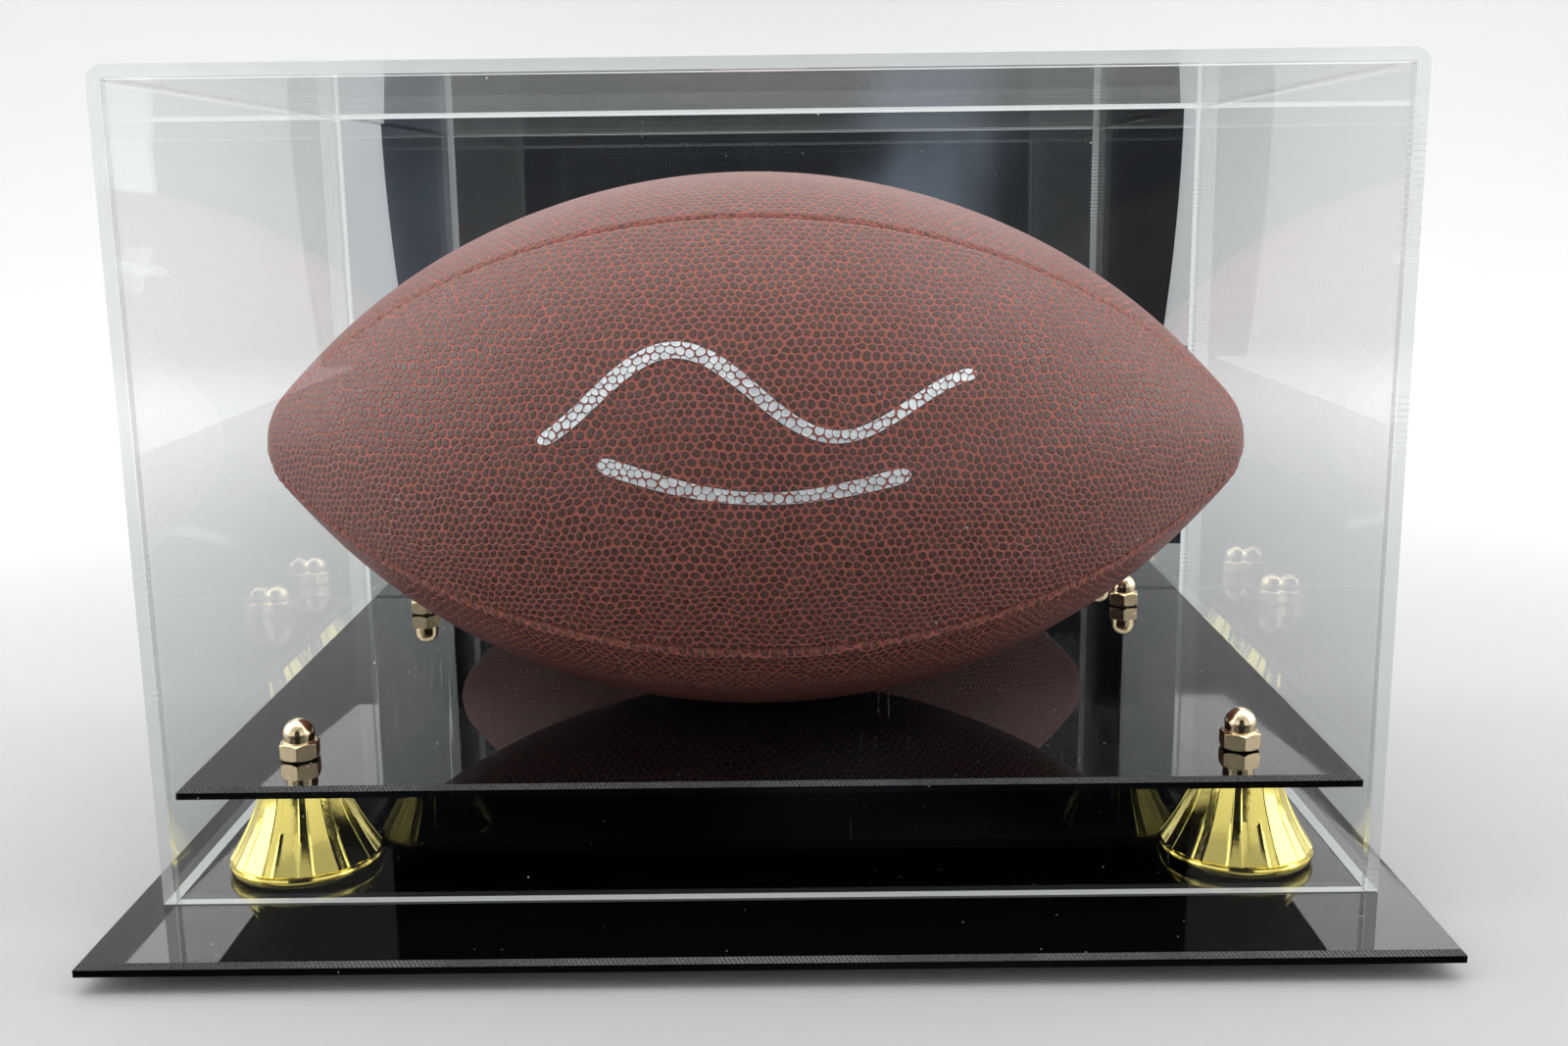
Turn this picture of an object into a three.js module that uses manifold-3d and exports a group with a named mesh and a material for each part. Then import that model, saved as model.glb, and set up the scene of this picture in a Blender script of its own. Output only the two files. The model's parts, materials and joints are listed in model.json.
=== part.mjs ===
// Football display case: a clear acrylic cover with a mirrored back stands on a black acrylic base, round a
// black deck that four gold risers hold up, and a football lies on the deck.
// Millimetres, +Z up, front towards -Y. The origin is the middle of the base's outline, on the table.
import * as THREE from "three";
import { mergeVertices } from "three/addons/utils/BufferGeometryUtils.js";
import Module from "manifold-3d";

const GAP = 0.3; // between pieces that touch on the real object

const BASE = { width: 330, depth: 251, thickness: 3, bevel: 1.2 };
const FOOT = { topRadius: 9, bottomRadius: 6.5, height: 4.5, sideInset: 10, frontInset: 6 };
const COVER = { width: 311, depth: 209, height: 208, wall: 3, bend: 4, frontLedge: 33 };
const MIRROR = { thickness: 2, sideGap: 0.6 };
const DECK = { width: 303, thickness: 3, bevel: 1.2, frontGap: 1, rearGap: 1, rise: 30 };
const RISER = {
  halfSpacing: 126,
  edgeInset: 22.5,
  footRadius: 18.3,
  rimRadius: 20.3,
  rimHeight: 2.8,
  fluteStart: 3.8,
  fluteRadius: 19.7,
  topRadius: 10.3,
  flare: 1.6,
  flutes: 12,
  panelShare: 2 / 3,
};
const SCREW = { radius: 2, clearance: 0.4, headRadius: 4, headHeight: 2.6, slot: 1, reach: 7 };
const NUT = { acrossFlats: 9.6, height: 4.6, chamfer: 0.5, domeRadius: 4.15, collar: 2, boreDepth: 8 };
const NUT_TURN = { front_left: 6, front_right: 0, rear_left: 14, rear_right: -9 };
const BALL = {
  halfLength: 141.6,
  radius: 76.4,
  taper: 1.48,
  tipRoundness: 0.44,
  skin: 2.6,
  bladderWall: 1,
  offsetX: -3.5,
  frontGap: 1.5,
  tiltDegrees: 0.5,
};
const SEAM_DEGREES = { top_front: 58, bottom_front: -38, bottom_rear: -122, top_rear: 142 };
const LACE = { halfLength: 55, width: 5, thickness: 1.8, bars: 8, barSpan: 9, stripSpan: 1.9 };
const VALVE = { angleDegrees: 190, radius: 2.6, bore: 0.8 };

const baseTop = FOOT.height + BASE.thickness;
const coverFront = -BASE.depth / 2 + COVER.frontLedge;
const coverBack = coverFront + COVER.depth;
const coverBottom = baseTop + GAP;
const mirrorFront = coverBack - COVER.wall - GAP - MIRROR.thickness;
const deckTop = baseTop + DECK.rise;
const deckBottom = deckTop - DECK.thickness;
const deckFront = coverFront + COVER.wall + DECK.frontGap;
const deckDepth = mirrorFront - DECK.rearGap - deckFront;
const riserHeight = deckBottom - baseTop - 2 * GAP;
const boreRadius = SCREW.radius + SCREW.clearance;
const ballCentre = new THREE.Vector3(
  BALL.offsetX,
  coverFront + COVER.wall + BALL.frontGap + BALL.radius,
  deckTop + GAP + BALL.radius,
);
const CORNERS = [
  { name: "front_left", x: -1, y: -1 },
  { name: "front_right", x: 1, y: -1 },
  { name: "rear_left", x: -1, y: 1 },
  { name: "rear_right", x: 1, y: 1 },
];

const blackAcrylic = new THREE.MeshStandardMaterial({ color: 0x0b0b0c, roughness: 0.08 });
const clearAcrylic = new THREE.MeshStandardMaterial({
  color: 0xf2f6f6,
  roughness: 0.03,
  transparent: true,
  opacity: 0.25,
});
const mirrorAcrylic = new THREE.MeshStandardMaterial({ color: 0xd8dcdc, roughness: 0.02, metalness: 1 });
const goldPlastic = new THREE.MeshStandardMaterial({ color: 0xd8b83a, roughness: 0.15, metalness: 1 });
const brass = new THREE.MeshStandardMaterial({ color: 0xc9a877, roughness: 0.2, metalness: 1 });
const steel = new THREE.MeshStandardMaterial({ color: 0x9a9a9c, roughness: 0.35, metalness: 1 });
const blackRubber = new THREE.MeshStandardMaterial({ color: 0x141414, roughness: 0.8 });
const pebbledLeather = new THREE.MeshStandardMaterial({ color: 0x5e2f28, roughness: 0.6 });
const whiteLace = new THREE.MeshStandardMaterial({ color: 0xe8e2d6, roughness: 0.7 });

const wasm = await Module();
wasm.setup();

function solidOf(geometry) {
  const plain = geometry.clone();
  plain.deleteAttribute("normal");
  plain.deleteAttribute("uv");
  const merged = mergeVertices(plain, 1e-4);
  return new wasm.Manifold(
    new wasm.Mesh({
      numProp: 3,
      vertProperties: merged.attributes.position.array,
      triVerts: new Uint32Array(merged.index.array),
    }),
  );
}

function geometryOf(solid) {
  const mesh = solid.getMesh();
  const geometry = new THREE.BufferGeometry();
  geometry.setAttribute("position", new THREE.BufferAttribute(new Float32Array(mesh.vertProperties), 3));
  geometry.setIndex(new THREE.BufferAttribute(new Uint32Array(mesh.triVerts), 1));
  geometry.computeVertexNormals();
  return geometry;
}

function cut(geometry, ...tools) {
  return geometryOf(tools.reduce((left, tool) => left.subtract(solidOf(tool)), solidOf(geometry)));
}

// A closed skin over rings of points that each have the same count and run anticlockwise seen from the last
// ring, with both ends closed by a fan.
function loft(rings) {
  const count = rings[0].length;
  const points = rings.flat();
  const middle = (ring) =>
    ring.reduce((sum, p) => sum.add(p), new THREE.Vector3()).divideScalar(ring.length);
  const first = points.push(middle(rings[0])) - 1;
  const last = points.push(middle(rings[rings.length - 1])) - 1;
  const faces = [];
  for (let i = 0; i < count; i++) {
    const next = (i + 1) % count;
    for (let r = 0; r < rings.length - 1; r++) {
      const low = r * count;
      const high = low + count;
      faces.push(low + i, low + next, high + next, low + i, high + next, high + i);
    }
    const end = (rings.length - 1) * count;
    faces.push(first, next, i, last, end + i, end + next);
  }
  const geometry = new THREE.BufferGeometry().setFromPoints(points);
  geometry.setIndex(faces);
  geometry.computeVertexNormals();
  return geometry;
}

function rectangleRing(width, depth, z) {
  return [
    new THREE.Vector3(-width / 2, -depth / 2, z),
    new THREE.Vector3(width / 2, -depth / 2, z),
    new THREE.Vector3(width / 2, depth / 2, z),
    new THREE.Vector3(-width / 2, depth / 2, z),
  ];
}

// Cylinder along Z from low to high.
function rod(radius, low, high, segments = 12) {
  const geometry = new THREE.CylinderGeometry(radius, radius, high - low, segments);
  return geometry.rotateX(Math.PI / 2).translate(0, 0, (low + high) / 2);
}

// A plate with its underside at z 0, its upper edge bevelled, and a screw hole at each place.
function bevelledPlate(width, depth, thickness, bevel, holes) {
  const plate = loft([
    rectangleRing(width, depth, 0),
    rectangleRing(width, depth, thickness - bevel),
    rectangleRing(width - 2 * bevel, depth - 2 * bevel, thickness),
  ]);
  return cut(plate, ...holes.map(([x, y]) => rod(boreRadius, -1, thickness + 1).translate(x, y, 0)));
}

function foot() {
  const middle = FOOT.height * 0.5;
  const profile = [
    [0, 0],
    [FOOT.bottomRadius - 0.6, 0],
    [FOOT.bottomRadius, 0.5],
    [FOOT.bottomRadius + 1.6, middle],
    [FOOT.topRadius, FOOT.height - GAP],
    [0, FOOT.height - GAP],
  ];
  const geometry = new THREE.LatheGeometry(
    profile.map(([r, z]) => new THREE.Vector2(r, z)),
    20,
  );
  return geometry.rotateX(Math.PI / 2);
}

// Radius of the riser's flare at a height above its rim, from the flute start to the top.
function flareRadius(z) {
  const share = (z - RISER.fluteStart) / (riserHeight - RISER.fluteStart);
  return RISER.topRadius + (RISER.fluteRadius - RISER.topRadius) * (1 - share) ** RISER.flare;
}

// A bell with wide and narrow flat flutes by turns, which stand on a round rim and a rounded foot.
function riser() {
  const pitch = (2 * Math.PI) / RISER.flutes;
  const wide = pitch * RISER.panelShare;
  const angles = [];
  for (let i = 0; i < RISER.flutes; i++) {
    angles.push(i * pitch - wide / 2, i * pitch + wide / 2);
  }
  const ring = (radius, z) =>
    angles.map((a) => new THREE.Vector3(radius * Math.cos(a), radius * Math.sin(a), z));
  const rings = [];
  const underSteps = 3;
  for (let i = 0; i <= underSteps; i++) {
    const turn = (i / underSteps) * (Math.PI / 2);
    const radius = RISER.footRadius + (RISER.rimRadius - RISER.footRadius) * Math.sin(turn);
    rings.push(ring(radius, (RISER.rimHeight - 0.6) * (1 - Math.cos(turn))));
  }
  rings.push(ring(RISER.rimRadius, RISER.rimHeight));
  rings.push(ring(RISER.rimRadius - 0.5, RISER.fluteStart - 0.4));
  const flareSteps = 5;
  for (let i = 0; i <= flareSteps; i++) {
    const z = RISER.fluteStart + ((riserHeight - RISER.fluteStart) * i) / flareSteps;
    rings.push(ring(flareRadius(z), z));
  }
  return cut(loft(rings), rod(boreRadius, -1, riserHeight + 1));
}

// Pan-head screw: its head's top is at z 0, under the base, and its shank runs up to length.
function screw(length) {
  const profile = [
    [0, -SCREW.headHeight],
    [SCREW.headRadius * 0.7, -SCREW.headHeight],
    [SCREW.headRadius * 0.95, -SCREW.headHeight * 0.65],
    [SCREW.headRadius, -SCREW.headHeight * 0.35],
    [SCREW.headRadius, 0],
    [SCREW.radius, 0],
    [SCREW.radius, length - 0.6],
    [SCREW.radius - 0.6, length],
    [0, length],
  ];
  const body = new THREE.LatheGeometry(
    profile.map(([r, z]) => new THREE.Vector2(r, z)),
    16,
  ).rotateX(Math.PI / 2);
  const reach = SCREW.headRadius * 1.2;
  const depth = SCREW.headHeight * 0.9;
  const bars = [
    new THREE.BoxGeometry(reach, SCREW.slot, depth),
    new THREE.BoxGeometry(SCREW.slot, reach, depth),
  ];
  return cut(body, ...bars.map((bar) => bar.translate(0, 0, -SCREW.headHeight)));
}

function hexRing(acrossFlats, z) {
  const radius = acrossFlats / Math.sqrt(3);
  return [...Array(6).keys()].map((i) => {
    const angle = Math.PI / 6 + (i * Math.PI) / 3;
    return new THREE.Vector3(radius * Math.cos(angle), radius * Math.sin(angle), z);
  });
}

function acornNut() {
  const hex = loft([
    hexRing(NUT.acrossFlats - 2 * NUT.chamfer, 0),
    hexRing(NUT.acrossFlats, NUT.chamfer),
    hexRing(NUT.acrossFlats, NUT.height - NUT.chamfer),
    hexRing(NUT.acrossFlats - 2 * NUT.chamfer, NUT.height),
  ]);
  const domeSteps = 5;
  const springing = NUT.height + NUT.collar;
  const profile = [new THREE.Vector2(0, 1), new THREE.Vector2(NUT.domeRadius, 1)];
  for (let i = 0; i <= domeSteps; i++) {
    const turn = ((i / domeSteps) * Math.PI) / 2;
    const radius = i === domeSteps ? 0 : NUT.domeRadius * Math.cos(turn);
    profile.push(new THREE.Vector2(radius, springing + NUT.domeRadius * Math.sin(turn)));
  }
  const dome = new THREE.LatheGeometry(profile, 18).rotateX(Math.PI / 2);
  const joined = solidOf(hex).add(solidOf(dome));
  return geometryOf(joined.subtract(solidOf(rod(boreRadius, -1, NUT.boreDepth))));
}

// The one bent sheet that makes the cover's left side, top and right side, with its front edge at y 0.
function coverWrap() {
  const half = COVER.width / 2;
  const top = COVER.height;
  const inner = half - COVER.wall;
  const innerTop = top - COVER.wall;
  const innerBend = COVER.bend - COVER.wall;
  const outline = new THREE.Shape();
  outline.moveTo(half, 0);
  outline.lineTo(half, top - COVER.bend);
  outline.absarc(half - COVER.bend, top - COVER.bend, COVER.bend, 0, Math.PI / 2, false);
  outline.absarc(COVER.bend - half, top - COVER.bend, COVER.bend, Math.PI / 2, Math.PI, false);
  outline.lineTo(-half, 0);
  outline.lineTo(-inner, 0);
  outline.absarc(innerBend - inner, innerTop - innerBend, innerBend, Math.PI, Math.PI / 2, true);
  outline.absarc(inner - innerBend, innerTop - innerBend, innerBend, Math.PI / 2, 0, true);
  outline.lineTo(inner, 0);
  outline.closePath();
  return standingSheet(outline, COVER.depth, 5);
}

function standingSheet(outline, thickness, curveSegments) {
  const geometry = new THREE.ExtrudeGeometry(outline, {
    depth: thickness,
    bevelEnabled: false,
    curveSegments,
  });
  return geometry.rotateX(Math.PI / 2).translate(0, thickness, 0);
}

// A flat sheet with rounded upper corners that stands inside the bent sheet, its front face at y 0.
function insetSheet(width, height, thickness) {
  const half = width / 2;
  const corner = COVER.bend - COVER.wall;
  const outline = new THREE.Shape();
  outline.moveTo(-half, 0);
  outline.lineTo(half, 0);
  outline.lineTo(half, height - corner);
  outline.absarc(half - corner, height - corner, corner, 0, Math.PI / 2, false);
  outline.absarc(corner - half, height - corner, corner, Math.PI / 2, Math.PI, false);
  outline.closePath();
  return standingSheet(outline, thickness, 3);
}

// The football's radius at a distance x along its axis, and the same curve sunk by an inset. The second term
// rounds the last few millimetres of each tip.
function ballRadius(x, inset = 0) {
  const share = Math.min(1, Math.abs(x) / (BALL.halfLength - inset));
  const left = 1 - share ** 2;
  return (BALL.radius - inset) * Math.sqrt(left ** BALL.taper + BALL.tipRoundness * share ** 26 * left);
}

// The solid of revolution about X that lies an inset below the football's skin.
function ballSolid(inset) {
  const steps = 18;
  const segments = 32;
  const profile = [];
  for (let i = 0; i <= steps; i++) {
    const x = -(BALL.halfLength - inset) * Math.cos((Math.PI * i) / steps);
    profile.push(new THREE.Vector2(i % steps ? ballRadius(x, inset) : 0, x));
  }
  return solidOf(new THREE.LatheGeometry(profile, segments).rotateZ(-Math.PI / 2));
}

// The prism between two seams, in degrees up from the front, held back from each by half the seam's gap.
function seamWedge(fromDegrees, toDegrees) {
  const reach = BALL.radius * 3;
  const from = THREE.MathUtils.degToRad(fromDegrees);
  const to = THREE.MathUtils.degToRad(toDegrees);
  const middle = (from + to) / 2;
  const apex = GAP / 2 / Math.sin((to - from) / 2);
  // The shape's x is the way back from the front and its y is up.
  const corner = (angle, radius) =>
    new THREE.Vector2(
      -apex * Math.cos(middle) - radius * Math.cos(angle),
      apex * Math.sin(middle) + radius * Math.sin(angle),
    );
  const outline = new THREE.Shape([
    corner(0, 0),
    corner(to, reach),
    corner(middle, reach * 1.5),
    corner(from, reach),
  ]);
  const long = BALL.halfLength * 2 + 20;
  const prism = new THREE.ExtrudeGeometry(outline, { depth: long, bevelEnabled: false });
  const upright = new THREE.Matrix4().makeBasis(
    new THREE.Vector3(0, 1, 0),
    new THREE.Vector3(0, 0, 1),
    new THREE.Vector3(1, 0, 0),
  );
  return solidOf(prism.applyMatrix4(upright).translate(-long / 2, 0, 0));
}

// A rod that points out of the football's axis, at the valve's angle.
function valveRod(radius, low, high, segments = 12) {
  const angle = THREE.MathUtils.degToRad(VALVE.angleDegrees);
  return rod(radius, low, high, segments).rotateX(Math.PI / 2 - angle);
}

function ballPanel(fromDegrees, toDegrees, valved) {
  let panel = ballSolid(0).subtract(ballSolid(BALL.skin)).intersect(seamWedge(fromDegrees, toDegrees));
  if (valved) {
    const hole = valveRod(VALVE.radius + GAP, BALL.radius / 2, BALL.radius + 5);
    panel = panel.subtract(solidOf(hole));
  }
  return geometryOf(panel);
}

function bladder() {
  const outer = ballSolid(BALL.skin + 2 * GAP);
  const inner = ballSolid(BALL.skin + 2 * GAP + BALL.bladderWall);
  const opening = valveRod(VALVE.bore, BALL.radius / 2, BALL.radius);
  return geometryOf(outer.subtract(inner).subtract(solidOf(opening)));
}

function valve() {
  const low = BALL.radius - BALL.skin;
  const high = BALL.radius - GAP;
  return cut(valveRod(VALVE.radius, low, high), valveRod(VALVE.bore, low - 1, high + 1));
}

// A point in the football's frame, at x along it and a radius and angle round it.
function aroundBall(x, radius, degrees) {
  const angle = THREE.MathUtils.degToRad(degrees);
  return new THREE.Vector3(x, -radius * Math.cos(angle), radius * Math.sin(angle));
}

// The lacing: a strip along the seam under a row of cross bars.
function lacing() {
  const seam = SEAM_DEGREES.top_rear;
  const under = GAP + 0.2;
  const section = (x, span) => [
    aroundBall(x, ballRadius(x) + under, seam - span),
    aroundBall(x, ballRadius(x) + under, seam + span),
    aroundBall(x, ballRadius(x) + under + LACE.thickness * 0.7, seam + span),
    aroundBall(x, ballRadius(x) + under + LACE.thickness * 0.7, seam - span),
  ];
  const stripSteps = 12;
  const strip = [];
  for (let i = 0; i <= stripSteps; i++) {
    strip.push(section(-LACE.halfLength + (2 * LACE.halfLength * i) / stripSteps, LACE.stripSpan));
  }
  let lace = solidOf(loft(strip));
  for (let bar = 0; bar < LACE.bars; bar++) {
    const middle = -LACE.halfLength + (2 * LACE.halfLength * (bar + 0.5)) / LACE.bars;
    const low = middle - LACE.width / 2;
    const high = middle + LACE.width / 2;
    const barSteps = 4;
    const rings = [];
    for (let i = 0; i <= barSteps; i++) {
      const angle = seam - LACE.barSpan + (2 * LACE.barSpan * i) / barSteps;
      rings.push([
        aroundBall(low, ballRadius(low) + under, angle),
        aroundBall(low, ballRadius(low) + under + LACE.thickness, angle),
        aroundBall(high, ballRadius(high) + under + LACE.thickness, angle),
        aroundBall(high, ballRadius(high) + under, angle),
      ]);
    }
    lace = lace.add(solidOf(loft(rings)));
  }
  return geometryOf(lace);
}

function place(name, geometry, material, x = 0, y = 0, z = 0) {
  const mesh = new THREE.Mesh(geometry, material);
  mesh.name = name;
  mesh.position.set(x, y, z);
  return mesh;
}

const riserPlaces = CORNERS.map(({ name, x, y }) => {
  const deckMiddle = deckFront + deckDepth / 2;
  return {
    name,
    x: x * RISER.halfSpacing,
    y: deckMiddle + y * (deckDepth / 2 - RISER.edgeInset),
  };
});

const stand = new THREE.Group();
const baseHoles = riserPlaces.map(({ x, y }) => [x, y]);
const basePlate = bevelledPlate(BASE.width, BASE.depth, BASE.thickness, BASE.bevel, baseHoles);
stand.add(place("base_plate", basePlate, blackAcrylic, 0, 0, FOOT.height));
for (const { name, x, y } of CORNERS) {
  const footX = x * (BASE.width / 2 - FOOT.sideInset - FOOT.topRadius);
  const footY = y * (BASE.depth / 2 - FOOT.frontInset - FOOT.topRadius);
  stand.add(place(`foot_${name}`, foot(), blackRubber, footX, footY, 0));
}
const deckMiddle = deckFront + deckDepth / 2;
const deckHoles = riserPlaces.map(({ x, y }) => [x, y - deckMiddle]);
const deckPlate = bevelledPlate(DECK.width, deckDepth, DECK.thickness, DECK.bevel, deckHoles);
stand.add(place("deck_plate", deckPlate, blackAcrylic, 0, deckMiddle, deckBottom));
for (const { name, x, y } of riserPlaces) {
  const headTop = FOOT.height - GAP;
  const screwLength = deckTop + GAP + SCREW.reach - headTop;
  stand.add(place(`riser_${name}`, riser(), goldPlastic, x, y, baseTop + GAP));
  stand.add(place(`screw_${name}`, screw(screwLength), steel, x, y, headTop));
  const nut = place(`acorn_nut_${name}`, acornNut(), brass, x, y, deckTop + GAP);
  nut.rotation.z = THREE.MathUtils.degToRad(NUT_TURN[name]);
  stand.add(nut);
}

const cover = new THREE.Group();
const panelWidth = COVER.width - 2 * (COVER.wall + GAP);
const panelHeight = COVER.height - COVER.wall - GAP;
cover.position.set(0, coverFront, coverBottom);
cover.add(place("cover_wrap", coverWrap(), clearAcrylic));
cover.add(place("cover_front_panel", insetSheet(panelWidth, panelHeight, COVER.wall), clearAcrylic));
const backPanel = insetSheet(panelWidth, panelHeight, COVER.wall);
cover.add(place("cover_back_panel", backPanel, clearAcrylic, 0, COVER.depth - COVER.wall));
const mirrorSheet = insetSheet(
  panelWidth - 2 * MIRROR.sideGap,
  panelHeight - MIRROR.sideGap,
  MIRROR.thickness,
);
cover.add(place("mirror_panel", mirrorSheet, mirrorAcrylic, 0, mirrorFront - coverFront));

const football = new THREE.Group();
football.position.copy(ballCentre);
football.rotation.y = THREE.MathUtils.degToRad(BALL.tiltDegrees);
const { top_front, bottom_front, bottom_rear, top_rear } = SEAM_DEGREES;
const panels = {
  front: [bottom_front, top_front],
  top: [top_front, top_rear],
  rear: [top_rear, bottom_rear + 360],
  bottom: [bottom_rear, bottom_front],
};
for (const [side, [from, to]] of Object.entries(panels)) {
  football.add(place(`football_panel_${side}`, ballPanel(from, to, side === "rear"), pebbledLeather));
}
football.add(place("football_bladder", bladder(), blackRubber));
football.add(place("football_valve", valve(), blackRubber));
football.add(place("football_lacing", lacing(), whiteLace));

const displayCase = new THREE.Group();
displayCase.add(stand, cover, football);

export default displayCase;
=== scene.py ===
import json
import math
import random

import bpy
from mathutils import Matrix, Vector


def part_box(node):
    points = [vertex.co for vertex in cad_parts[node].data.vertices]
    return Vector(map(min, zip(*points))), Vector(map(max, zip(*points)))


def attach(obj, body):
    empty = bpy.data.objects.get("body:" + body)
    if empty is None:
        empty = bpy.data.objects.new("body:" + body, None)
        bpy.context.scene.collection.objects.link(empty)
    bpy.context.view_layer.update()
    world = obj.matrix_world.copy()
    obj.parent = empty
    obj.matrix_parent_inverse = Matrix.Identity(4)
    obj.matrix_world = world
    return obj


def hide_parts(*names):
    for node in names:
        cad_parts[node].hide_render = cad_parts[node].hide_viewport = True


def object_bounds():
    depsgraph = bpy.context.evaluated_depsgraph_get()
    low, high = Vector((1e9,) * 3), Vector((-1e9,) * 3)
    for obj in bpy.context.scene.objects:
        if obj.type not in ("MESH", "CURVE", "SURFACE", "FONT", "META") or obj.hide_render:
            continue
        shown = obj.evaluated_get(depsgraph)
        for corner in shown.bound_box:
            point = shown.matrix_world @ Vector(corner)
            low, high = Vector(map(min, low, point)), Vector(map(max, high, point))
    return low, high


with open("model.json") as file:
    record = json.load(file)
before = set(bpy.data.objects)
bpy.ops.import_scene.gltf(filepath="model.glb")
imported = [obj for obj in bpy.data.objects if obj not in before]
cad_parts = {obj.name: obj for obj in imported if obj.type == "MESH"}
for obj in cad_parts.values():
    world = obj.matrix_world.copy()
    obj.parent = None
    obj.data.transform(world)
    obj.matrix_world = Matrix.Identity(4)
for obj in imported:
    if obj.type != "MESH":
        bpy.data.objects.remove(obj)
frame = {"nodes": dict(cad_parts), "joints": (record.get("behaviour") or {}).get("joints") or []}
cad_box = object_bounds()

# Football display case. Metres, +Z up, front towards -Y. The origin is the middle of the base, on
# the table.

MM = 0.001
CORNERS = ("front_left", "front_right", "rear_left", "rear_right")
nodes = frame["nodes"]

CAMERA = {
    "place": (0.0068, -0.48019, 0.18497),
    "lens_mm": 37.231,
    "pitch_down": math.radians(11.552),
    "yaw": math.radians(0.285),
    "roll": math.radians(-0.743),
}


# ---------------------------------------------------------------- node materials


class Material:
    """A new node material, with short calls that add nodes and link them."""

    def __init__(self, name):
        self.data = bpy.data.materials.new(name)
        self.data.use_nodes = True
        self.tree = self.data.node_tree
        self.tree.nodes.clear()

    def add(self, kind, inputs=None, **settings):
        """A node of a kind. Each input is given a value, or another node's output to link from."""
        made = self.tree.nodes.new("ShaderNode" + kind)
        for name, value in settings.items():
            setattr(made, name, value)
        for key, value in (inputs or {}).items():
            if isinstance(value, bpy.types.NodeSocket):
                self.tree.links.new(value, made.inputs[key])
            else:
                made.inputs[key].default_value = value
        return made

    def math(self, operation, *values):
        return self.add("Math", dict(enumerate(values)), operation=operation).outputs[0]

    def vector(self, operation, inputs, output="Vector"):
        return self.add("VectorMath", inputs, operation=operation).outputs[output]

    def axes(self, vector):
        return self.add("SeparateXYZ", {"Vector": vector}).outputs

    def span(self, value, low, high, to_low=0.0, to_high=1.0):
        """Maps low..high smoothly to to_low..to_high."""
        inputs = {
            "Value": value,
            "From Min": low,
            "From Max": high,
            "To Min": to_low,
            "To Max": to_high,
        }
        return self.add("MapRange", inputs, interpolation_type="SMOOTHSTEP").outputs["Result"]

    def vary(self, noise, to_low=0.0, to_high=1.0):
        """Maps the middle range of a noise, where most of it lies, to to_low..to_high."""
        return self.span(noise, 0.3, 0.7, to_low, to_high)

    def wave(self, value, length):
        """A sine of a value, -1 to 1, with a wavelength."""
        return self.math("SINE", self.math("MULTIPLY", value, 2 * math.pi / length))

    def mix(self, share, first, second):
        """The colour first where share is 0 and second where it is 1."""
        inputs = {0: share, 6: first, 7: second}
        return self.add("Mix", inputs, data_type="RGBA").outputs[2]

    def place(self):
        """The point in the object's own frame, in metres."""
        return self.add("TexCoord").outputs["Object"]

    def stretched(self, vector, x, y, z):
        inputs = {"Vector": vector, "Scale": (x, y, z)}
        return self.add("Mapping", inputs).outputs["Vector"]

    def grain(self):
        """The point in the flat sheet that the piece was cut from, as set_grain gives it."""
        return self.add("Attribute", attribute_name=GRAIN).outputs["Vector"]

    def noise(self, vector, scale, detail=2.0, rough=0.5):
        inputs = {"Vector": vector, "Scale": scale, "Detail": detail, "Roughness": rough}
        return self.add("TexNoise", inputs).outputs["Fac"]

    def bump(self, height, distance, strength=1.0):
        inputs = {"Height": height, "Distance": distance, "Strength": strength}
        return self.add("Bump", inputs).outputs["Normal"]

    def shader(self, kind, **inputs):
        return self.add(kind, inputs).outputs[0]

    def principled(self, colour, roughness, normal, metallic=0.0):
        inputs = {
            "Base Color": colour,
            "Roughness": roughness,
            "Normal": normal,
            "Metallic": metallic,
        }
        return self.shader("BsdfPrincipled", **inputs)

    def blend(self, share, first, second):
        """The shader first where share is 0 and second where it is 1."""
        return self.add("MixShader", {0: share, 1: first, 2: second}).outputs[0]

    def finish(self, shader):
        output = self.add("OutputMaterial")
        self.tree.links.new(shader, output.inputs["Surface"])
        return self.data


GRAIN = "grain"


def grey(value):
    return (value, value, value, 1)


def dust_mask(m, place, spacing, radius_share, kept_share):
    """1 on small round specks: about one in each cell of the spacing, of which a share is kept."""
    inputs = {"Vector": place, "Scale": 1 / spacing, "Randomness": 1.0}
    cells = m.add("TexVoronoi", inputs, voronoi_dimensions="3D", feature="F1")
    near = m.span(cells.outputs["Distance"], radius_share, radius_share * 0.6)
    chance = m.add("SeparateColor", {"Color": cells.outputs["Color"]}).outputs[0]
    kept = m.math("LESS_THAN", chance, kept_share)
    return m.math("MULTIPLY", near, kept)


def schlick(m, at_normal=0.04):
    """Reflectance of a sheet's surface, the same from both sides of it."""
    facing = m.add("LayerWeight", {"Blend": 0.5}).outputs["Facing"]
    rise = m.math("MULTIPLY", m.math("POWER", facing, 5.0), 1 - at_normal)
    return m.math("ADD", rise, at_normal)


def black_acrylic():
    m = Material("black_acrylic")
    place = m.place()
    dust = dust_mask(m, place, spacing=3.4 * MM, radius_share=0.085, kept_share=0.22)
    smears = m.noise(m.stretched(place, 9, 30, 9), 1.0, 4)
    lint = m.noise(place, 1800)
    colour = m.mix(dust, (0.0014, 0.0014, 0.0016, 1), (0.2, 0.19, 0.18, 1))
    polish = m.span(smears, 0.45, 0.75, 0.012, 0.045)
    roughness = m.math("ADD", polish, m.math("MULTIPLY", dust, 0.5))
    normal = m.bump(m.math("MULTIPLY", lint, dust), 0.05 * MM)
    return m.finish(m.principled(colour, roughness, normal))


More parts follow.
